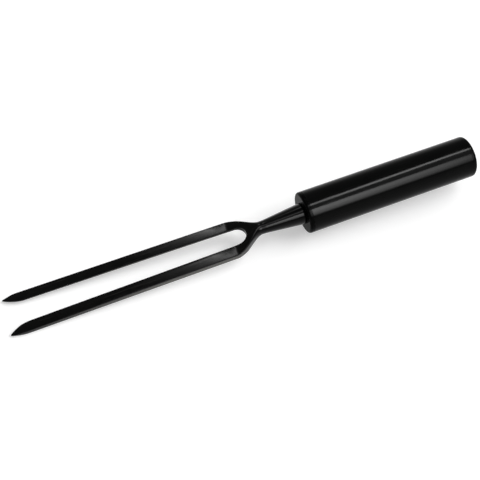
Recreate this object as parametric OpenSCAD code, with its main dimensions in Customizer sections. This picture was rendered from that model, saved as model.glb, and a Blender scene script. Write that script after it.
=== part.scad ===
/* [Handle] */
// Diameter of the round handle
handle_d = 28.5; // [24:0.5:34]
// Length of the handle tube between the two flanges
tube_len = 117; // [80:1:150]
// Wall of the handle tube
tube_wall = 1.2; // [0.8:0.1:2.5]
// Thickness of the flange at each end of the handle
flange_t = 3; // [2.2:0.1:6]
// Radius of the rounded edge on each flange
flange_edge_r = 1.6; // [0.4:0.1:2]
// Depth that the front plug reaches into the tube
plug_depth = 14; // [8:1:25]
// Depth that the end cap reaches into the tube
cap_depth = 10; // [5:1:20]
// Wall of the cap's skirt inside the tube
cap_wall = 2; // [1:0.1:4]
// Fine bevel on the edges that meet at the two seams of the handle
seam_bevel = 0.15; // [0.05:0.05:0.3]

/* [Shank] */
// Diameter of the shank where it meets the handle
shank_d = 14.6; // [11:0.2:18]
// Diameter of the neck, where the shank is thinnest
neck_d = 8.8; // [7:0.2:10]
// Length of the conical shank, from the handle to the neck
shank_len = 30; // [15:0.5:60]

/* [Crotch] */
// Length over which the round neck spreads into the two flat tines
crotch_len = 21.5; // [17:0.5:35]
// Distance from the neck to the round end of the gap
web_len = 10.5; // [6:0.5:14]
// Roundness of the long edges where the tines begin
edge_r = 0.7; // [0.3:0.1:1.4]

/* [Tines] */
// Distance from the face of the handle to the tips
reach = 201.5; // [140:0.5:260]
// Width of a tine at the crotch, seen from above
tine_w = 7.9; // [6:0.1:9]
// Width of a tine at its far end, before its tip is cut to a point
tine_end_w = 6.9; // [5.5:0.1:9]
// Thickness of a tine at the crotch, on its outer side
tine_t = 4.1; // [3:0.1:5]
// Thickness of a tine at its far end, before its tip is cut to a point
tine_end_t = 3.4; // [2.8:0.1:5]
// Gap between the tines at its round end
gap_root = 12.4; // [10:0.1:16]
// Gap between the tines at the tips, before they taper
gap_tip = 16.7; // [12:0.1:22]
// Height of the upright strip left on a tine's inner side
inner_land = 0.8; // [0.4:0.1:1.4]
// Width of the bevel ground on the underside, along the gap
bevel_w = 4; // [1:0.1:4.4]
// Fine bevel along the upper edge of the gap
gap_bevel = 0.3; // [0.1:0.1:0.5]
// Distance of the flat upper face below the handle's axis
face_drop = 0.5; // [0:0.1:1.2]

/* [Tips] */
// Length of the taper on the outer edge
tip_outer_len = 11; // [7:0.5:18]
// Length of the taper on the inner edge
tip_inner_len = 14; // [8:0.5:20]
// Share of the tine's width between the point and the outer edge
tip_share = 0.27; // [0.15:0.01:0.5]
// Distance of the point below the flat upper face
tip_drop = 1.5; // [1:0.1:1.8]
// Length of the small facet that falls from the upper face to the point
tip_facet_len = 7; // [3:0.5:12]
// Length over which the underside rises to the point
tip_rise_len = 13; // [8:0.5:20]
// Width of the blunted point
tip_blunt = 0.7; // [0.3:0.1:1]

/* [Tang and fixing] */
// Diameter of the tang and its thread
tang_d = 6; // [4:0.5:8]
// Distance across the two flats that stop the tang turning
tang_flats = 4.8; // [3:0.1:7]
// Length of thread that stands out of the nut
tang_end = 2.5; // [1:0.5:6]
// Diameter of the washer
washer_d = 12; // [11:0.5:15]
// Thickness of the washer
washer_t = 1.6; // [0.8:0.1:2.5]
// Nut, across its flats
nut_af = 10; // [10:0.5:13]
// Thickness of the nut
nut_t = 5; // [3:0.5:8]
// Clearance all round where one piece fits in another
fit_gap = 0.05; // [0.02:0.01:0.1]

/* [Hidden] */

// The axis of the handle is X, with the tips towards -X. The tube's front end is at x = 0.
handle_r = handle_d / 2;
bore_r = handle_r - tube_wall;
spigot_r = bore_r - fit_gap;
face_x = -flange_t;
neck_x = face_x - shank_len;
neck_r = neck_d / 2;
flat_x = neck_x - crotch_len;
tip_x = face_x - reach;
thread_r = tang_d / 2;
shank_taper = (shank_d / 2 - neck_r) / shank_len;

// The flats stay inside the thread's outline, whatever the tang's diameter
flats = min(tang_flats, tang_d - 0.6);

// Cutters run this far past what they cut, and pieces of one solid overlap by the smaller amount
spare = 1;
overlap = 0.2;
skin = 0.01;

// Heights of the tines' upper face, and of their lower face at the crotch
top_z = -face_drop;
low_z = top_z - tine_t;

function mix(a, b, t) = a + (b - a) * t;

// The gap: its centre line end, half widths and how much it opens per millimetre towards the tips
gap_end_r = gap_root / 2;
gap_centre_x = neck_x - web_len - gap_end_r;
gap_growth = (gap_tip / 2 - gap_end_r) / (gap_centre_x - tip_x);
function half_gap(x) = gap_end_r + gap_growth * max(0, gap_centre_x - x);

// How far along the tines x is, from 0 at the crotch to 1 at the tips, and what each tine measures there
function along(x) = max(0, (gap_centre_x - x) / (gap_centre_x - tip_x));
function half_width(x) = half_gap(x) + mix(tine_w, tine_end_w, along(x));
function under_z(x) = top_z - mix(tine_t, tine_end_t, along(x));

// Sections of the crotch, from the round neck to the two flat tines
crotch_rings = 20;
corner_share = 0.65;
corner_steps = 8;
ring_points = 4 * corner_steps;
// The crotch's first section is a hair wider than the shank, which ends inside it
ring_r = neck_r + 0.05;
function ease(t) = t * t * (3 - 2 * t);
// The width grows a little sooner than the height
spread_power = 0.95;
function spread(t) = ease(pow(t, spread_power));

// A rectangle with rounded corners: half width a, from z0 to z1, corner radius c
function section(x, a, z0, z1, c) = [
    for (k = [0:3], j = [0:corner_steps - 1])
        let (
            turn = 90 * (k + (j + 0.5) / corner_steps),
            side = (k == 0 || k == 3) ? 1 : -1,
            level = k < 2 ? z1 - c : z0 + c
        )
        [x, side * (a - c) + c * cos(turn), level + c * sin(turn)]
];
function crotch_section(t) =
    let (
        x = mix(neck_x, flat_x, t),
        a = mix(ring_r, half_width(flat_x), spread(t)),
        z0 = mix(-ring_r, under_z(x), ease(t)),
        z1 = mix(ring_r, top_z, ease(t)),
        c = min(mix(ring_r, edge_r, spread(min(1, t / corner_share))), (z1 - z0) / 2)
    )
    section(x, a, z0, z1, c);
head_rings = concat(
    [for (i = [0:crotch_rings]) crotch_section(i / crotch_rings)],
    [section(tip_x - spare, half_width(tip_x - spare), under_z(tip_x - spare), top_z, edge_r)]
);
ring_count = len(head_rings);

// Round pieces lie along X
module along_x(x) {
    translate([x, 0, 0])
        rotate([0, 90, 0])
            children();
}

// A disc whose far outer edge is rounded and whose near edge has the seam's fine bevel
module flange() {
    r = min(flange_edge_r, flange_t - seam_bevel);
    rotate_extrude($fn = 96) {
        square([handle_r - seam_bevel, flange_t - r]);
        translate([0, seam_bevel])
            square([handle_r, flange_t - r - seam_bevel]);
        polygon([
            [handle_r - seam_bevel, 0],
            [handle_r, seam_bevel],
            [handle_r - seam_bevel, seam_bevel]
        ]);
        square([handle_r - r, flange_t]);
        translate([handle_r - r, flange_t - r])
            circle(r, $fn = 48);
    }
}

// The outside of the crotch and both tines, before the gap is cut
module head_blank() {
    walls = [
        for (i = [0:ring_count - 2], j = [0:ring_points - 1])
            let (
                a = i * ring_points + j,
                b = i * ring_points + (j + 1) % ring_points
            )
            each [[a, b + ring_points, a + ring_points], [a, b, b + ring_points]]
    ];
    start = [for (j = [ring_points - 1:-1:0]) j];
    finish = [for (j = [0:ring_points - 1]) (ring_count - 1) * ring_points + j];
    polyhedron(
        points = [for (ring = head_rings) each ring],
        faces = concat(walls, [start], [finish]),
        convexity = 6
    );
}

// Half section of the gap, as [half width, height]: bevelled above, upright, then open to the underside
function gap_profile(r) =
    let (
        land_top = top_z - gap_bevel,
        land_low = land_top - inner_land,
        slope = bevel_w / (land_low - low_z)
    )
    [
        [0, ring_r + spare],
        [r + gap_bevel, ring_r + spare],
        [r + gap_bevel, top_z],
        [r, land_top],
        [r, land_low],
        [r + bevel_w + slope * spare, low_z - spare],
        [0, low_z - spare]
    ];

// The gap: a round end, and one slanted side for each tine
module gap() {
    run = gap_centre_x - tip_x + 2 * spare;
    slant = atan(gap_growth);
    half = gap_profile(gap_end_r);
    past_middle = [for (p = half) [p[0] > 0 ? p[0] : -gap_end_r, p[1]]];
    translate([gap_centre_x, 0, 0])
        rotate_extrude($fn = 96)
            polygon(half);
    for (side = [0, 1])
        mirror([0, side, 0])
            translate([gap_centre_x, 0, 0])
                rotate([90, 0, slant - 90])
                    linear_extrude(run)
                        polygon(past_middle);
}

// Plan of one tapered tip: both edges curve in to the point
tip_steps = 10;
tip_y = half_gap(tip_x) + tine_end_w * (1 - tip_share);
module tip_plan() {
    outer_drop = half_width(tip_x) - tip_y - tip_blunt / 2;
    inner_drop = tip_y - tip_blunt / 2 - half_gap(tip_x);
    wide = half_width(tip_x) + spare;
    outer = [
        for (i = [0:tip_steps])
            let (s = i / tip_steps, x = tip_x + s * tip_outer_len)
            [x, half_width(x) + skin - outer_drop * pow(1 - s, 2)]
    ];
    inner = [
        for (i = [tip_steps:-1:0])
            let (s = i / tip_steps, x = tip_x + s * tip_inner_len)
            [x, half_gap(x) - skin + inner_drop * pow(1 - s, 2)]
    ];
    polygon(concat(
        outer,
        [
            [tip_x + tip_outer_len, wide],
            [neck_x + spare, wide],
            [neck_x + spare, -spare],
            [tip_x + tip_inner_len, -spare]
        ],
        inner
    ));
}

// Side view of the tips: a short facet above, a long rise below
module tip_profile() {
    point_z = top_z - tip_drop;
    rise = point_z - tip_blunt / 2 - under_z(tip_x);
    clear = ring_r + spare;
    under = [
        for (i = [0:tip_steps])
            let (s = i / tip_steps, x = tip_x + s * tip_rise_len)
            [x, under_z(x) - skin + rise * pow(1 - s, 2)]
    ];
    polygon(concat(
        [
            [neck_x + spare, clear],
            [tip_x + tip_facet_len, clear],
            [tip_x + tip_facet_len, top_z + skin],
            [tip_x, point_z + tip_blunt / 2]
        ],
        under,
        [[tip_x + tip_rise_len, -clear], [neck_x + spare, -clear]]
    ));
}

module tines() {
    tall = 2 * (ring_r + 2 * spare);
    wide = 2 * (half_width(tip_x) + 2 * spare);
    difference() {
        intersection() {
            head_blank();
            union() {
                for (side = [0, 1])
                    mirror([0, side, 0])
                        translate([0, 0, -tall / 2])
                            linear_extrude(tall)
                                tip_plan();
            }
            translate([0, wide / 2, 0])
                rotate([90, 0, 0])
                    linear_extrude(wide)
                        tip_profile();
        }
        gap();
    }
}

// The tang's flats, and the slot in the plug that they fit
module tang_section(extra) {
    intersection() {
        circle(thread_r + extra, $fn = 64);
        square([tang_d + 2 * spare, flats + 2 * extra], center = true);
    }
}

module fork_head() {
    color([0.10, 0.10, 0.10]) {
        tines();
        along_x(neck_x - overlap)
            cylinder(
                h = shank_len + overlap,
                r1 = neck_r - overlap * shank_taper,
                r2 = shank_d / 2,
                $fn = 96
            );
        along_x(face_x - spare)
            linear_extrude(plug_depth - face_x + spare)
                tang_section(0);
        along_x(plug_depth)
            cylinder(h = washer_t + nut_t + tang_end, r = thread_r, $fn = 64);
    }
}

module front_plug() {
    color([0.13, 0.13, 0.13])
        difference() {
            union() {
                mirror([1, 0, 0])
                    along_x(0)
                        flange();
                along_x(-overlap)
                    cylinder(h = plug_depth + overlap, r = spigot_r, $fn = 96);
            }
            along_x(face_x - spare)
                linear_extrude(plug_depth - face_x + 2 * spare)
                    tang_section(fit_gap);
        }
}

module handle_tube() {
    color([0.08, 0.08, 0.08])
        along_x(0)
            rotate_extrude($fn = 96)
                polygon([
                    [bore_r, 0],
                    [handle_r - seam_bevel, 0],
                    [handle_r, seam_bevel],
                    [handle_r, tube_len - seam_bevel],
                    [handle_r - seam_bevel, tube_len],
                    [bore_r, tube_len]
                ]);
}

module end_cap() {
    color([0.13, 0.13, 0.13])
        difference() {
            union() {
                along_x(tube_len)
                    flange();
                along_x(tube_len - cap_depth)
                    cylinder(h = cap_depth + overlap, r = spigot_r, $fn = 96);
            }
            along_x(tube_len - cap_depth - spare)
                cylinder(h = cap_depth + spare, r = spigot_r - cap_wall, $fn = 96);
        }
}

module tang_washer() {
    color("silver")
        along_x(plug_depth)
            difference() {
                cylinder(h = washer_t, r = washer_d / 2, $fn = 64);
                translate([0, 0, -spare])
                    cylinder(h = washer_t + 2 * spare, r = thread_r + fit_gap, $fn = 64);
            }
}

module tang_nut() {
    color("silver")
        along_x(plug_depth + washer_t)
            difference() {
                cylinder(h = nut_t, r = nut_af / 2 / cos(30), $fn = 6);
                translate([0, 0, -spare])
                    cylinder(h = nut_t + 2 * spare, r = thread_r + fit_gap, $fn = 64);
            }
}

fork_head();
front_plug();
handle_tube();
end_cap();
tang_washer();
tang_nut();
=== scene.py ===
import math

import bmesh
import bpy
from mathutils import Matrix, Vector


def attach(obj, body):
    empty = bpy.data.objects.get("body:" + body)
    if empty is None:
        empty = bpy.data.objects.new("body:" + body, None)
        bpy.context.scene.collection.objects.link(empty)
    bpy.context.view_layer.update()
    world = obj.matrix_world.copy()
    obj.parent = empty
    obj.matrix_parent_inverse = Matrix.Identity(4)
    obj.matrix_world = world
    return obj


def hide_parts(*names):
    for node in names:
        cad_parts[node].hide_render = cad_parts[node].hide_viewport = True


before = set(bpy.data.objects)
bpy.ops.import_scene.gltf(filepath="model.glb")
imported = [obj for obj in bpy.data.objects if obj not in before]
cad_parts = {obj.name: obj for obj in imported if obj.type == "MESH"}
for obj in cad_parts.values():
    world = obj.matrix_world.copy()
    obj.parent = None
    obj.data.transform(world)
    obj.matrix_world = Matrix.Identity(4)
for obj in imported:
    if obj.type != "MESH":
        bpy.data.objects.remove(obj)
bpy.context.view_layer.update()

# All sizes below are in millimetres; pieces are brought to metres when they are finished.
MM = 0.001

# Handle
handle_r = 14.25
tube_len = 117.0
bore_r = 13.05
flange_t = 3.0
flange_edge_r = 1.6
spigot_r = 13.0
plug_depth = 14.0
cap_depth = 10.0
cap_bore_r = 11.0
seam_bevel = 0.15
mouth_bevel = 0.6
rim_bevel = 0.8
corner_lip = 0.02
lathe_steps = 160

# Tang, with the slot that it fits
tang_r = 3.0
tang_flat = 2.4
fit_gap = 0.05
thread_end = 23.1
thread_pitch = 1.0
thread_depth = 0.3
thread_crest = 0.1
thread_lead = 0.4
shoulder_r = 0.25

# Shank, neck and crotch
face_x = -flange_t
shank_r = 7.3
neck_r = 4.4
ring_r = 4.45
neck_x = -33.0
neck_soft = 0.15
crotch_len = 21.5
flat_x = neck_x - crotch_len
corner_share = 0.65
spread_power = 0.95
edge_r = 0.7

# Gap and tines
gap_r = 6.2
gap_x = -49.7
gap_tip = 8.35
tip_x = -204.5
tine_w = 7.9
tine_end_w = 6.9
tine_t = 4.1
tine_end_t = 3.4
top_z = -0.5
gap_edge_r = 0.3
land = 0.8
strip_lip = 0.06
bevel_w = 4.0
tip_outer_len = 11.0
tip_inner_len = 14.0
tip_share = 0.27
tip_drop = 1.5
tip_facet_len = 7.0
tip_rise_len = 13.0
tip_blunt = 0.7
tip_round = 0.3
tip_zone = 16.0

# How many sections each stretch of the fork gets
shank_cuts = 26
crotch_cuts = 20
bend_cuts = 22
root_cuts = 8
tine_cuts = 44
tip_cuts = 26

# Turns, in degrees, at which a section's points stand on a round section, from its top to its underside
corner_turns = [1.5, 8, 16, 25, 35, 45, 55, 65, 74, 82, 88.5]
turns = [0] + corner_turns + [180 - a for a in reversed(corner_turns)] + [180]
wall_turns = [0, 18, 36, 54, 72, 90]

# Where the points of the gap's lower bevel stand, as shares of its width
bevel_shares = (0.05, 0.35, 0.7, 0.96, 1)


def mix(a, b, t):
    return a + (b - a) * t


def ease(t):
    t = min(1.0, max(0.0, t))
    return t * t * (3 - 2 * t)


def spread(t):
    return ease(max(0.0, t) ** spread_power)


# The fork's outlines

gap_growth = (gap_tip - gap_r) / (gap_x - tip_x)


def half_gap(x):
    return gap_r + gap_growth * max(0.0, gap_x - x)


def along(x):
    """How far along the tines x is, from 0 at the crotch to 1 at the tips."""
    return max(0.0, (gap_x - x) / (gap_x - tip_x))


def tine_width(x):
    return mix(tine_w, tine_end_w, along(x))


def flat_low(x):
    """Height of the tines' lower face."""
    return top_z - mix(tine_t, tine_end_t, along(x))


def bevel_reach(x, share=1.0):
    """Width of the bevel below the gap's upright strip, which has the same slope along the whole tine."""
    strip_z = top_z - gap_edge_r - land
    return bevel_w * share * (strip_z - flat_low(x)) / (strip_z - flat_low(gap_x))


def past_tip(x, length):
    """1 at the point of a tine, 0 where a taper of that length begins."""
    return max(0.0, 1 - (x - tip_x) / length)


point_y = half_gap(tip_x) + tine_end_w * (1 - tip_share)


def outer_y(x):
    """Half width of the head at x."""
    t = (neck_x - x) / crotch_len
    if t < 1:
        return mix(ring_r, half_gap(flat_x) + tine_width(flat_x), spread(t))
    drop = half_gap(tip_x) + tine_end_w - point_y - tip_blunt / 2
    return half_gap(x) + tine_width(x) - drop * past_tip(x, tip_outer_len) ** 2


def inner_y(x):
    """Distance of the gap's side from the middle."""
    drop = point_y - tip_blunt / 2 - half_gap(tip_x)
    return half_gap(x) + drop * past_tip(x, tip_inner_len) ** 2


def upper_z(x):
    drop = tip_drop - tip_blunt / 2
    return mix(ring_r, top_z, ease((neck_x - x) / crotch_len)) - drop * past_tip(x, tip_facet_len)


def under_z(x):
    rise = top_z - tip_drop - tip_blunt / 2 - flat_low(tip_x)
    return mix(-ring_r, flat_low(x), ease((neck_x - x) / crotch_len)) + rise * past_tip(x, tip_rise_len) ** 2


def corner_r(x):
    """Radius of the long outer edges, from a full round at the neck to a small one on the tines."""
    tall = upper_z(x) - under_z(x)
    t = (neck_x - x) / crotch_len / corner_share
    if x > flat_x:
        return min(mix(ring_r, edge_r, spread(min(1, t))), tall / 2)
    return min(edge_r, 0.35 * (outer_y(x) - inner_y(x)), 0.4 * tall)


# Sections of the fork

def round_section(x, r, flat=None):
    """Half of a round section, with flats on its sides where flat is given."""
    side = r if flat is None else flat
    return [
        Vector((x, min(side, r * math.sin(math.radians(a))), r * math.cos(math.radians(a))))
        for a in turns
    ]


def flat_section(top_in, low_in, out_x):
    """Half of a section, from top_in over the rounded outer side to low_in, both given in plan."""
    out = Vector((out_x, outer_y(out_x)))
    c = corner_r(out_x)
    points = []
    for a in turns:
        turn = math.radians(a)
        inner = Vector(top_in if a < 90 else low_in)
        back = (inner - out).length
        if 0 < a < 180:
            back = min(back, c * (1 - math.sin(turn)))
        plan = out + (inner - out).normalized() * back
        fall = 0 if a in (0, 180) else c * (1 - abs(math.cos(turn)))
        z = upper_z(plan.x) - fall if a < 90 else under_z(plan.x) + fall
        points.append(Vector((plan.x, plan.y, z)))
    return points


def wall_section(side, away, x, share=1.0):
    """The gap's side, from its rounded upper edge down the upright strip and out along the bevel below."""
    side, away = Vector(side), Vector(away)
    tall = upper_z(x) - under_z(x)
    k = min(1.0, tall / (top_z - flat_low(x)))
    r = gap_edge_r * share
    strip_z = min(top_z, upper_z(x)) - (gap_edge_r + land) * k
    points = []
    for a in wall_turns:
        turn = math.radians(a)
        plan = side + away * r * (1 - math.sin(turn))
        points.append(Vector((plan.x, plan.y, upper_z(plan.x) - r * (1 - math.cos(turn)))))
    reach = bevel_reach(x, share)
    floor_z = under_z((side + away * reach).x)
    points.append(Vector((side.x, side.y, strip_z + strip_lip * k)))
    points.append(Vector((side.x, side.y, strip_z)))
    for out in bevel_shares:
        plan = side + away * reach * out
        points.append(Vector((plan.x, plan.y, mix(strip_z, floor_z, out))))
    return points


def steps(a, b, count):
    """count + 1 values from a to b."""
    return [mix(a, b, i / count) for i in range(count + 1)]


def thread_sections():
    """The threaded end of the tang, from its far end back to the flats."""
    root_r = tang_r - thread_depth
    sections = [round_section(thread_end, root_r - thread_lead)]
    x = thread_end - thread_lead
    while x > plug_depth + thread_depth:
        sections.append(round_section(x, tang_r))
        sections.append(round_section(x - thread_crest, tang_r))
        sections.append(round_section(x - thread_pitch / 2, root_r))
        sections.append(round_section(x - thread_pitch / 2 - thread_crest, root_r))
        x -= thread_pitch
    sections.append(round_section(plug_depth, tang_r))
    return sections


def shank_sections():
    """The tang's flats, the shoulder against the handle, and the conical shank down to the neck."""
    sections = [round_section(x, tang_r, tang_flat) for x in steps(plug_depth, face_x, 3)]
    wide = shank_r - shoulder_r
    sections.append(round_section(face_x, mix(tang_r, wide, 0.5)))
    for a in steps(0, 90, 4):
        turn = math.radians(a)
        x = face_x - shoulder_r * (1 - math.cos(turn))
        sections.append(round_section(x, wide + shoulder_r * math.sin(turn)))
    start = face_x - shoulder_r
    for s in steps(1, 0, shank_cuts)[1:-1]:
        soft = s * s / (2 * neck_soft) if s < neck_soft else s - neck_soft / 2
        r = mix(ring_r, shank_r, soft / (1 - neck_soft / 2))
        sections.append(round_section(mix(neck_x, start, s), r))
    return sections


def head_sections():
    """Sections of half the fork from thread to tip, and the gap's side for the last of them."""
    outer, wall = thread_sections() + shank_sections(), []
    for t in steps(0, 1, crotch_cuts)[:-1]:
        top_in = (mix(neck_x, gap_x + gap_r + gap_edge_r, t), 0)
        low_in = (mix(neck_x, gap_x + gap_r + bevel_w, t), 0)
        outer.append(flat_section(top_in, low_in, mix(neck_x, gap_x + gap_r, t)))
    centre = Vector((gap_x, 0))
    for a in steps(0, 90, bend_cuts)[:-1]:
        away = Vector((math.cos(math.radians(a)), math.sin(math.radians(a))))
        side = centre + away * gap_r
        top_in, low_in = side + away * gap_edge_r, side + away * bevel_w
        outer.append(flat_section(top_in, low_in, gap_x + gap_r * (1 - a / 90)))
        wall.append(wall_section(side, away, side.x))
    tine = steps(gap_x, flat_x, root_cuts)[:-1]
    tine += steps(flat_x, tip_x + tip_zone, tine_cuts)[:-1]
    tine += steps(tip_x + tip_zone, tip_x + tip_round, tip_cuts)
    for x in tine:
        share = min(1.0, (outer_y(x) - inner_y(x)) / tine_width(x))
        side, away = (x, inner_y(x)), (0, 1)
        top_in = (x, inner_y(x) + gap_edge_r * share)
        low_in = (x, inner_y(x) + bevel_reach(x, share))
        outer.append(flat_section(top_in, low_in, x))
        wall.append(wall_section(side, away, x, share))
    outer_last, wall_last = outer[-1], wall[-1]
    for nose, size in ((0.4, 0.8), (0.07, 0.36)):
        x = tip_x + tip_round * nose
        middle = Vector((x, point_y, top_z - tip_drop))
        for sheet, last in ((outer, outer_last), (wall, wall_last)):
            sheet.append([middle + Vector((0, p.y - middle.y, p.z - middle.z)) * size for p in last])
    return outer, wall


# Meshes

def lay_grid(bm, sections):
    """A sheet of quads whose points are put at those of the sections, column by column."""
    columns, rows = len(sections) - 1, len(sections[0]) - 1
    made = bmesh.ops.create_grid(bm, x_segments=columns, y_segments=rows, size=0.5)["verts"]
    low = min(v.co.x for v in made)
    for v in made:
        i = round((v.co.x - low) * columns)
        j = round((v.co.y - low) * rows)
        v.co = sections[i][j]


def close_holes(bm):
    edges = [e for e in bm.edges if e.is_boundary]
    bmesh.ops.holes_fill(bm, edges=edges, sides=0)


def finish_piece(bm, name, node, sharp=32.0):
    """Brings a mesh in millimetres to metres, marks its sharp edges and puts it in place of the CAD node."""
    bmesh.ops.remove_doubles(bm, verts=bm.verts, dist=0.0005)
    bmesh.ops.recalc_face_normals(bm, faces=bm.faces)
    bmesh.ops.scale(bm, vec=(MM, MM, MM), verts=bm.verts)
    bm.normal_update()
    for f in bm.faces:
        f.smooth = True
    for e in bm.edges:
        e.smooth = len(e.link_faces) == 2 and e.calc_face_angle(0) < math.radians(sharp)
    mesh = bpy.data.meshes.new(name)
    bm.to_mesh(mesh)
    bm.free()
    piece = bpy.data.objects.new(name, mesh)
    bpy.context.scene.collection.objects.link(piece)
    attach(piece, "root")
    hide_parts(node)
    return piece


def lathe(profile):
    """Turns a profile of (x, radius) points about the handle's axis."""
    bm = bmesh.new()
    verts = [bm.verts.new((x, 0, r)) for x, r in profile]
    edges = [bm.edges.new(pair) for pair in zip(verts, verts[1:])]
    bmesh.ops.spin(
        bm,
        geom=verts + edges,
        cent=(0, 0, 0),
        axis=(1, 0, 0),
        angle=2 * math.pi,
        steps=lathe_steps,
        use_merge=True,
    )
    bmesh.ops.remove_doubles(bm, verts=bm.verts, dist=0.0005)
    return bm


def arc(x, r, radius, start, end, count=8):
    """Points of a quarter round about (x, r) in the lathe's profile."""
    return [
        (x + radius * math.cos(math.radians(a)), r + radius * math.sin(math.radians(a)))
        for a in steps(start, end, count)
    ]


def make_fork_head():
    bm = bmesh.new()
    outer, wall = head_sections()
    lay_grid(bm, outer)
    lay_grid(bm, wall)
    bmesh.ops.remove_doubles(bm, verts=bm.verts, dist=0.0005)
    bmesh.ops.mirror(bm, geom=bm.verts[:] + bm.edges[:] + bm.faces[:], axis="Y", merge_dist=0.0005)
    close_holes(bm)
    return finish_piece(bm, "forged_head", "fork_head")


def make_front_plug():
    hole = tang_r + fit_gap + mouth_bevel
    round_x = face_x + flange_edge_r
    profile = [(face_x, hole)]
    profile += [(face_x, r) for r in steps(hole, handle_r - flange_edge_r - edge_r / 2, 2)[1:]]
    profile += arc(round_x, handle_r - flange_edge_r, flange_edge_r, 180, 90, 10)
    profile += [(-seam_bevel, handle_r), (0, handle_r - seam_bevel)]
    profile += [(0, spigot_r + corner_lip), (corner_lip, spigot_r)]
    profile += [(plug_depth - rim_bevel, spigot_r), (plug_depth, spigot_r - rim_bevel), (plug_depth, hole)]
    bm = lathe(profile)
    rims = [e for e in bm.edges if e.is_boundary]
    grown = bmesh.ops.extrude_edge_only(bm, edges=rims)["geom"]
    for v in (g for g in grown if isinstance(g, bmesh.types.BMVert)):
        turn = math.atan2(v.co.y, v.co.z)
        r = tang_r + fit_gap
        flat = tang_flat + fit_gap
        v.co.y = max(-flat, min(flat, r * math.sin(turn)))
        v.co.z = r * math.cos(turn)
    bmesh.ops.bridge_loops(bm, edges=[e for e in bm.edges if e.is_boundary])
    return finish_piece(bm, "turned_front_plug", "front_plug")


def make_handle_tube():
    profile = [(0, bore_r), (0, handle_r - seam_bevel)]
    profile += [(x, handle_r) for x in steps(seam_bevel, tube_len - seam_bevel, 6)]
    profile += [(tube_len, handle_r - seam_bevel)]
    profile += [(tube_len, bore_r), (tube_len / 2, bore_r), (0, bore_r)]
    return finish_piece(lathe(profile), "round_handle_tube", "handle_tube")


def make_end_cap():
    inner = tube_len
    outer = tube_len + flange_t
    mouth = tube_len - cap_depth
    profile = [(inner, 0), (inner, cap_bore_r - mouth_bevel), (inner - mouth_bevel, cap_bore_r)]
    profile += [(mouth, cap_bore_r), (mouth, spigot_r - mouth_bevel), (mouth + mouth_bevel, spigot_r)]
    profile += [(inner - corner_lip, spigot_r), (inner, spigot_r + corner_lip)]
    profile += [(inner, handle_r - seam_bevel), (inner + seam_bevel, handle_r)]
    profile += arc(outer - flange_edge_r, handle_r - flange_edge_r, flange_edge_r, 90, 0, 10)
    profile += [(outer, r) for r in steps(handle_r - flange_edge_r - edge_r / 2, 0, 2)]
    return finish_piece(lathe(profile), "turned_end_cap", "end_cap")


# Materials

def new_group(name, inputs, outputs):
    """An empty shader node group with those sockets: (name, kind, default)."""
    group = bpy.data.node_groups.new(name, "ShaderNodeTree")
    for label, kind, default in inputs:
        socket = group.interface.new_socket(label, in_out="INPUT", socket_type=kind)
        if default is not None:
            socket.default_value = default
    for label, kind in outputs:
        group.interface.new_socket(label, in_out="OUTPUT", socket_type=kind)
    return group, group.nodes.new("NodeGroupInput"), group.nodes.new("NodeGroupOutput")


def add(tree, kind, settings=(), values=()):
    """A node with its settings and the values of its sockets."""
    node = tree.nodes.new(kind)
    for key, value in dict(settings).items():
        setattr(node, key, value)
    for key, value in dict(values).items():
        node.inputs[key].default_value = value
    return node


def math_node(tree, operation, a, b, clamp=False):
    """A Math node of two inputs, each a socket or a number."""
    node = add(tree, "ShaderNodeMath", {"operation": operation, "use_clamp": clamp})
    for i, value in enumerate((a, b)):
        if isinstance(value, (int, float)):
            node.inputs[i].default_value = value
        else:
            tree.links.new(value, node.inputs[i])
    return node.outputs[0]


def make_patches_group():
    """Soft patches over a surface, from 0 to 1."""
    group, at, out = new_group(
        "soft_patches",
        [("Vector", "NodeSocketVector", None), ("Size", "NodeSocketFloat", 100.0)],
        [("Mask", "NodeSocketFloat")],
    )
    noise = add(group, "ShaderNodeTexNoise", {}, {"Detail": 4.0, "Roughness": 0.6})
    level = add(group, "ShaderNodeMapRange", {}, {"From Min": 0.35, "From Max": 0.65})
    group.links.new(at.outputs["Vector"], noise.inputs["Vector"])
    group.links.new(at.outputs["Size"], noise.inputs["Scale"])
    group.links.new(noise.outputs["Fac"], level.inputs["Value"])
    group.links.new(level.outputs["Result"], out.inputs["Mask"])
    return group


def make_marks_group():
    """Fine lines left by grinding and use, drawn out along the piece: a mask of the lines, and a height."""
    group, at, out = new_group(
        "fine_marks",
        [
            ("Vector", "NodeSocketVector", None),
            ("Stretch", "NodeSocketVector", (30.0, 900.0, 900.0)),
            ("Rarity", "NodeSocketFloat", 0.62),
        ],
        [("Mask", "NodeSocketFloat"), ("Height", "NodeSocketFloat")],
    )
    stretch = add(group, "ShaderNodeVectorMath", {"operation": "MULTIPLY"})
    noise = add(group, "ShaderNodeTexNoise", {}, {"Scale": 1.0, "Detail": 3.0, "Roughness": 0.55})
    level = add(group, "ShaderNodeMapRange", {}, {"From Max": 0.8})
    group.links.new(at.outputs["Vector"], stretch.inputs[0])
    group.links.new(at.outputs["Stretch"], stretch.inputs[1])
    group.links.new(stretch.outputs[0], noise.inputs["Vector"])
    group.links.new(noise.outputs["Fac"], level.inputs["Value"])
    group.links.new(at.outputs["Rarity"], level.inputs["From Min"])
    group.links.new(level.outputs["Result"], out.inputs["Mask"])
    group.links.new(noise.outputs["Fac"], out.inputs["Height"])
    return group


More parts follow.
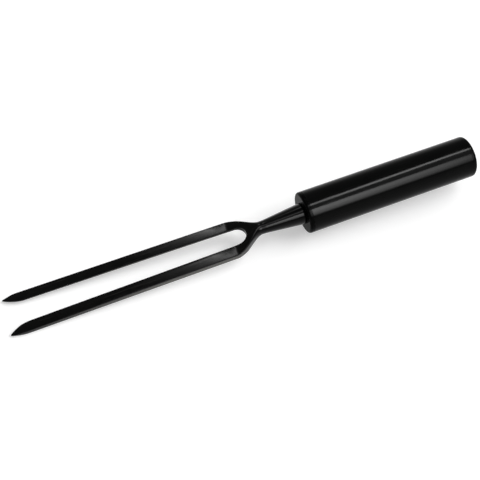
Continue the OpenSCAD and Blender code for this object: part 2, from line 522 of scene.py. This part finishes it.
def make_wear_group():
    """Where edges and corners have rubbed bright: 0 on open surfaces, up to 1 on a worn edge."""
    group, at, out = new_group(
        "edge_wear",
        [
            ("Vector", "NodeSocketVector", None),
            ("Width", "NodeSocketFloat", 0.0003),
            ("Amount", "NodeSocketFloat", 0.5),
        ],
        [("Mask", "NodeSocketFloat")],
    )
    rounded = add(group, "ShaderNodeBevel", {"samples": 6})
    plain = add(group, "ShaderNodeNewGeometry")
    meet = add(group, "ShaderNodeVectorMath", {"operation": "DOT_PRODUCT"})
    noise = add(group, "ShaderNodeTexNoise", {}, {"Scale": 500.0, "Detail": 5.0})
    group.links.new(at.outputs["Width"], rounded.inputs["Radius"])
    group.links.new(rounded.outputs["Normal"], meet.inputs[0])
    group.links.new(plain.outputs["Normal"], meet.inputs[1])
    group.links.new(at.outputs["Vector"], noise.inputs["Vector"])
    turned = math_node(group, "SUBTRACT", 1.0, meet.outputs["Value"])
    strong = math_node(group, "MULTIPLY", turned, 12.0, clamp=True)
    broken = math_node(group, "SUBTRACT", noise.outputs["Fac"], 0.42)
    patchy = math_node(group, "MULTIPLY", broken, 6.0, clamp=True)
    worn = math_node(group, "MULTIPLY", strong, patchy)
    amount = math_node(group, "MULTIPLY", worn, at.outputs["Amount"], clamp=True)
    group.links.new(amount, out.inputs["Mask"])
    return group


# Where the painted reflection on the tines' upright sides begins and fades
upright_from = 0.8
upright_full = 0.95
root_fade = 0.008
tip_fade = 0.09


def make_reflection_paint_group():
    """Mask for a painted reflection of the white surface on the tines' upright sides: 1 on upright faces
    past the root, fading towards the tip, and 0 elsewhere.
    """
    group, at, out = new_group(
        "side_reflection_paint",
        [
            ("Vector", "NodeSocketVector", None),
            ("Normal", "NodeSocketVector", None),
            ("Root", "NodeSocketFloat", -0.05),
            ("Tip", "NodeSocketFloat", -0.2),
        ],
        [("Mask", "NodeSocketFloat")],
    )
    place = add(group, "ShaderNodeSeparateXYZ")
    facing = add(group, "ShaderNodeSeparateXYZ")
    upright = add(group, "ShaderNodeMapRange", {}, {"From Min": upright_from, "From Max": upright_full})
    past_root = add(group, "ShaderNodeMapRange", {}, {"From Max": root_fade})
    before_tip = add(group, "ShaderNodeMapRange", {}, {"From Max": tip_fade})
    group.links.new(at.outputs["Vector"], place.inputs[0])
    group.links.new(at.outputs["Normal"], facing.inputs[0])
    across = math_node(group, "ABSOLUTE", facing.outputs["Y"], 0.0)
    from_root = math_node(group, "SUBTRACT", at.outputs["Root"], place.outputs["X"])
    from_tip = math_node(group, "SUBTRACT", place.outputs["X"], at.outputs["Tip"])
    group.links.new(across, upright.inputs["Value"])
    group.links.new(from_root, past_root.inputs["Value"])
    group.links.new(from_tip, before_tip.inputs["Value"])
    stretch = math_node(group, "MULTIPLY", past_root.outputs["Result"], before_tip.outputs["Result"])
    group.links.new(math_node(group, "MULTIPLY", upright.outputs["Result"], stretch), out.inputs["Mask"])
    return group


patches = make_patches_group()
marks = make_marks_group()
wear = make_wear_group()
sides = make_reflection_paint_group()


def place_group(tree, group, vector, values):
    node = tree.nodes.new("ShaderNodeGroup")
    node.node_tree = group
    tree.links.new(vector, node.inputs["Vector"])
    for key, value in values.items():
        node.inputs[key].default_value = value
    return node


def blend_colours(tree, fac, a, b):
    """Colour a where fac is 0 and colour b where it is 1; each is a socket or a colour."""
    node = add(tree, "ShaderNodeMix", {"data_type": "RGBA"})
    tree.links.new(fac, node.inputs["Factor"])
    for key, value in ((6, a), (7, b)):
        if isinstance(value, tuple):
            node.inputs[key].default_value = (*value, 1.0)
        else:
            tree.links.new(value, node.inputs[key])
    return node.outputs[2]


def make_finish(name, base, second, bare, look):
    """A procedural finish: two close base colours in patches, fine marks, and edges worn to bare metal."""
    material = bpy.data.materials.new(name)
    material.use_nodes = True
    tree = material.node_tree
    shader = tree.nodes["Principled BSDF"]
    shader.inputs["Metallic"].default_value = look["metallic"]
    shader.inputs["IOR"].default_value = look["ior"]
    shader.inputs["Specular Tint"].default_value = (look["tint"], look["tint"], look["tint"], 1)
    coords = add(tree, "ShaderNodeTexCoord")
    where = coords.outputs["Object"]
    patch = place_group(tree, patches, where, {"Size": look["patch_size"]})
    lines = place_group(tree, marks, where, {"Stretch": look["stretch"], "Rarity": look["rarity"]})
    edge = place_group(tree, wear, where, {"Width": look["wear_width"], "Amount": look["wear"]})
    colour = blend_colours(tree, patch.outputs["Mask"], base, second)
    lined = math_node(tree, "MULTIPLY", lines.outputs["Mask"], look["line_show"])
    colour = blend_colours(tree, lined, colour, bare)
    colour = blend_colours(tree, edge.outputs["Mask"], colour, bare)
    # Painted reflection: the tines' upright sides are lightened to stand in for the white surface reflected
    # in them
    if "painted_reflection_colour" in look:
        side = place_group(tree, sides, where, {"Root": look["side_root"], "Tip": look["side_tip"]})
        tree.links.new(coords.outputs["Normal"], side.inputs["Normal"])
        colour = blend_colours(tree, side.outputs["Mask"], colour, look["painted_reflection_colour"])
    tree.links.new(colour, shader.inputs["Base Color"])
    rough = math_node(tree, "MULTIPLY", patch.outputs["Mask"], look["rough_patch"])
    rough = math_node(tree, "ADD", rough, look["rough"])
    lined_rough = math_node(tree, "MULTIPLY", lines.outputs["Mask"], look["rough_lines"])
    rough = math_node(tree, "ADD", rough, lined_rough, clamp=True)
    tree.links.new(rough, shader.inputs["Roughness"])
    bump = add(tree, "ShaderNodeBump", {}, {"Strength": look["bump"], "Distance": look["bump_depth"]})
    tree.links.new(lines.outputs["Height"], bump.inputs["Height"])
    tree.links.new(bump.outputs["Normal"], shader.inputs["Normal"])
    return material


gloss_black = make_finish(
    "gloss_black_coat",
    (0.0012, 0.0013, 0.0013),
    (0.0020, 0.0021, 0.0020),
    (0.06, 0.06, 0.058),
    {
        "metallic": 0.0,
        "ior": 1.13,
        "tint": 1.0,
        "patch_size": 60.0,
        "stretch": (25.0, 700.0, 700.0),
        "rarity": 0.66,
        "line_show": 0.1,
        "wear_width": 0.00025,
        "wear": 0.25,
        "rough": 0.11,
        "rough_patch": 0.05,
        "rough_lines": 0.12,
        "bump": 0.04,
        "bump_depth": 0.0002,
    },
)
plug_black = make_finish(
    "satin_black_plug_coat",
    (0.0014, 0.0015, 0.0015),
    (0.0026, 0.0027, 0.0026),
    (0.08, 0.08, 0.078),
    {
        "metallic": 0.0,
        "ior": 1.08,
        "tint": 1.0,
        "patch_size": 90.0,
        "stretch": (500.0, 120.0, 120.0),
        "rarity": 0.6,
        "line_show": 0.1,
        "wear_width": 0.0003,
        "wear": 0.3,
        "rough": 0.14,
        "rough_patch": 0.06,
        "rough_lines": 0.12,
        "bump": 0.06,
        "bump_depth": 0.0002,
    },
)
forged_black = make_finish(
    "forged_black_coat",
    (0.0014, 0.0015, 0.0015),
    (0.0026, 0.0026, 0.0025),
    (0.07, 0.066, 0.06),
    {
        "metallic": 0.0,
        "ior": 1.5,
        "tint": 0.1,
        # Lighter colour painted on the tines' upright sides as the reflection of the white surface
        "painted_reflection_colour": (0.105, 0.103, 0.097),
        "side_root": -0.046,
        "side_tip": -0.2,
        "patch_size": 140.0,
        "stretch": (40.0, 600.0, 600.0),
        "rarity": 0.58,
        "line_show": 0.15,
        "wear_width": 0.00035,
        "wear": 0.25,
        "rough": 0.07,
        "rough_patch": 0.04,
        "rough_lines": 0.08,
        "bump": 0.08,
        "bump_depth": 0.0003,
    },
)
plain_steel = make_finish(
    "plain_turned_steel",
    (0.5, 0.5, 0.5),
    (0.42, 0.42, 0.41),
    (0.65, 0.65, 0.64),
    {
        "metallic": 1.0,
        "ior": 1.45,
        "tint": 1.0,
        "patch_size": 150.0,
        "stretch": (900.0, 200.0, 200.0),
        "rarity": 0.55,
        "line_show": 0.3,
        "wear_width": 0.0003,
        "wear": 0.5,
        "rough": 0.26,
        "rough_patch": 0.08,
        "rough_lines": 0.15,
        "bump": 0.15,
        "bump_depth": 0.0002,
    },
)

# Pieces

for piece, finish in (
    (make_fork_head(), forged_black),
    (make_front_plug(), plug_black),
    (make_handle_tube(), gloss_black),
    (make_end_cap(), gloss_black),
):
    piece.data.materials.append(finish)
for node in ("tang_washer", "tang_nut"):
    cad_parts[node].data.materials.clear()
    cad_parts[node].data.materials.append(plain_steel)

# Stage: the fork lies on its tines near the tips and on the front rim of the handle

rest_front = Vector((-1.4, 0, -handle_r)) * MM
rest_tines = Vector((tip_x + tip_rise_len, 0, flat_low(tip_x + tip_rise_len))) * MM
floor_long = (rest_front - rest_tines).normalized()
floor_wide = Vector((0, 1, 0))
floor_up = floor_long.cross(floor_wide)
floor_turn = Matrix((floor_long, floor_wide, floor_up)).transposed().to_4x4()


def seen_rays(tree):
    """1 for what is seen directly, in gloss or through glass, and 0 for light that falls on a surface."""
    path = add(tree, "ShaderNodeLightPath")
    seen = math_node(tree, "MAXIMUM", path.outputs["Is Camera Ray"], path.outputs["Is Glossy Ray"])
    return math_node(tree, "MAXIMUM", seen, path.outputs["Is Transmission Ray"])


def lift_for_view(tree, shader, strength):
    """Adds plain white to a surface where it is seen, but not as light."""
    glow = add(tree, "ShaderNodeEmission", {}, {"Color": (1, 1, 1, 1)})
    tree.links.new(math_node(tree, "MULTIPLY", seen_rays(tree), strength), glow.inputs["Strength"])
    both = add(tree, "ShaderNodeAddShader")
    tree.links.new(shader.outputs[0], both.inputs[0])
    tree.links.new(glow.outputs[0], both.inputs[1])
    tree.links.new(both.outputs[0], tree.nodes["Material Output"].inputs["Surface"])


floor_half = 25.0
floor_white = 0.7
floor_lift = 0.4


def make_floor():
    bm = bmesh.new()
    bmesh.ops.create_grid(bm, x_segments=1, y_segments=1, size=floor_half)
    bmesh.ops.transform(bm, matrix=Matrix.Translation(rest_front) @ floor_turn, verts=bm.verts)
    mesh = bpy.data.meshes.new("white_surface")
    bm.to_mesh(mesh)
    bm.free()
    surface = bpy.data.objects.new("white_surface", mesh)
    bpy.context.scene.collection.objects.link(surface)
    material = bpy.data.materials.new("white_paper")
    material.use_nodes = True
    shader = material.node_tree.nodes["Principled BSDF"]
    shader.inputs["Base Color"].default_value = (floor_white, floor_white, floor_white, 1)
    shader.inputs["Roughness"].default_value = 0.9
    shader.inputs["Specular IOR Level"].default_value = 0.0
    lift_for_view(material.node_tree, shader, floor_lift)
    mesh.materials.append(material)
    return surface


make_floor()

# Light: the sky and one soft side light fall on the surfaces; the panels only show in their gloss

sky_level = 0.4
horizon_lift = 0.6
horizon_full = 0.09
horizon_end = 0.34


def make_world():
    """An even pale sky, lifted to white near the horizon where it is seen, but not as light."""
    world = bpy.data.worlds.new("studio")
    world.use_nodes = True
    tree = world.node_tree
    where = add(tree, "ShaderNodeSeparateXYZ")
    tree.links.new(add(tree, "ShaderNodeTexCoord").outputs["Generated"], where.inputs[0])
    near = add(
        tree,
        "ShaderNodeMapRange",
        {"interpolation_type": "SMOOTHSTEP"},
        {"From Min": horizon_end, "From Max": horizon_full},
    )
    tree.links.new(where.outputs["Z"], near.inputs["Value"])
    lift = math_node(tree, "MULTIPLY", seen_rays(tree), near.outputs["Result"])
    lift = math_node(tree, "MULTIPLY", lift, horizon_lift)
    background = tree.nodes["Background"]
    background.inputs["Color"].default_value = (1, 1, 1, 1)
    tree.links.new(math_node(tree, "ADD", lift, sky_level), background.inputs["Strength"])
    return world


bpy.context.scene.world = make_world()


def place_lamp(name, lamp, turn, place=(0, 0, 0)):
    panel = bpy.data.objects.new(name, lamp)
    bpy.context.scene.collection.objects.link(panel)
    panel.matrix_world = Matrix.Translation(Vector(place)) @ turn.to_4x4()
    return panel


def soft_light(name, azimuth, height, spread_angle, share):
    """Soft light from a wide part of the sky; share 1 lights the floor fully, and it shows in no gloss."""
    lamp = bpy.data.lights.new(name, "SUN")
    lamp.angle = math.radians(spread_angle)
    turn, rise = math.radians(azimuth), math.radians(height)
    towards = Vector((math.cos(rise) * math.cos(turn), math.cos(rise) * math.sin(turn), math.sin(rise)))
    lamp.energy = share * math.pi / math.sin(rise)
    panel = place_lamp(name, lamp, towards.to_track_quat("Z", "Y").to_matrix())
    panel.visible_glossy = False


def gloss_panel(name, place, aim, width, height, radiance, level_turn=0.0):
    """A soft panel that only shows in gloss and faces its aim; radiance 1 shows as white."""
    lamp = bpy.data.lights.new(name, "AREA")
    lamp.shape = "RECTANGLE"
    lamp.size = width
    lamp.size_y = height
    lamp.energy = radiance * math.pi * width * height
    back = (Vector(place) - Vector(aim)).normalized()
    level = math.radians(level_turn)
    side = Vector((math.cos(level), math.sin(level), 0))
    side = (side - back * side.dot(back)).normalized()
    panel = place_lamp(name, lamp, Matrix((side, back.cross(side), back)).transposed(), place)
    panel.visible_diffuse = False
    return lamp


def shade_panel(lamp, along, up=((0, 1), (1, 1))):
    """Shades a panel along its width and up its height, by stops (place, share) that go from 0 to 1."""
    lamp.use_nodes = True
    tree = lamp.node_tree
    place = add(tree, "ShaderNodeSeparateXYZ")
    tree.links.new(add(tree, "ShaderNodeNewGeometry").outputs["Parametric"], place.inputs[0])
    share = 1.0
    for axis, stops in (("X", along), ("Y", up)):
        ramp = add(tree, "ShaderNodeValToRGB")
        elements = ramp.color_ramp.elements
        elements[0].position = stops[0][0]
        elements[1].position = stops[-1][0]
        for at, _ in stops[1:-1]:
            elements.new(at)
        for element, (_, value) in zip(elements, stops):
            element.color = (value, value, value, 1)
        tree.links.new(place.outputs[axis], ramp.inputs["Fac"])
        share = math_node(tree, "MULTIPLY", ramp.outputs["Color"], share)
    tree.links.new(share, tree.nodes["Emission"].inputs["Strength"])


handle_middle = (0.05, 0, 0)
tines_middle = (-0.065, 0, 0)
softbox_aim = (-0.314, 0, 0)

soft_light("side_light", 355.0, 30.0, 56.0, 0.56)
shade_panel(
    gloss_panel("front_softbox", (0.5, -1.713, 1.437), softbox_aim, 1.38, 1.43, 31.0),
    ((0, 0.75), (0.17, 0.75), (0.27, 0.35), (0.45, 0.35), (0.55, 1.0), (0.97, 0.42), (1, 0.4)),
    ((0, 0.08), (0.12, 0.3), (0.28, 0.6), (0.45, 0.7), (0.6, 0.93), (0.75, 1.0), (1, 1.0)),
)
shade_panel(
    gloss_panel("overhead_strip", (0.56, -0.25, 2.14), handle_middle, 1.4, 0.28, 34.0, 27.0),
    ((0, 0.2), (0.4, 0.25), (0.55, 1.0), (1, 1.0)),
)
gloss_panel("overhead_fill", (0.6, -0.6, 2.2), handle_middle, 1.6, 1.2, 1.5)
shade_panel(
    gloss_panel("back_panel", (0.1305, 1.147, 1.76), tines_middle, 0.268, 0.5, 17.0, 10.0),
    ((0, 0.02), (0.37, 0.07), (0.6, 0.18), (0.75, 0.32), (0.82, 0.6), (0.88, 1.0), (1, 1.0)),
)

# Camera, at the photograph's viewing angle

camera_place = Vector((-0.141904, -0.305033, 0.453982))
camera_right = Vector((0.930733, -0.362286, -0.049856))
camera_down = Vector((-0.324714, -0.755994, -0.568361))
focal_px = 848.1
frame_px = 480

camera = bpy.data.cameras.new("camera")
camera.sensor_width = 36.0
camera.lens = focal_px / frame_px * camera.sensor_width
camera.clip_start = 0.01
camera.clip_end = 60.0
viewer = bpy.data.objects.new("camera", camera)
bpy.context.scene.collection.objects.link(viewer)
right = camera_right.normalized()
upward = (-camera_down - right * (-camera_down).dot(right)).normalized()
camera_turn = Matrix((right, upward, right.cross(upward))).transposed().to_4x4()
viewer.matrix_world = Matrix.Translation(camera_place) @ camera_turn
bpy.context.scene.camera = viewer
bpy.context.scene.view_settings.view_transform = "Standard"
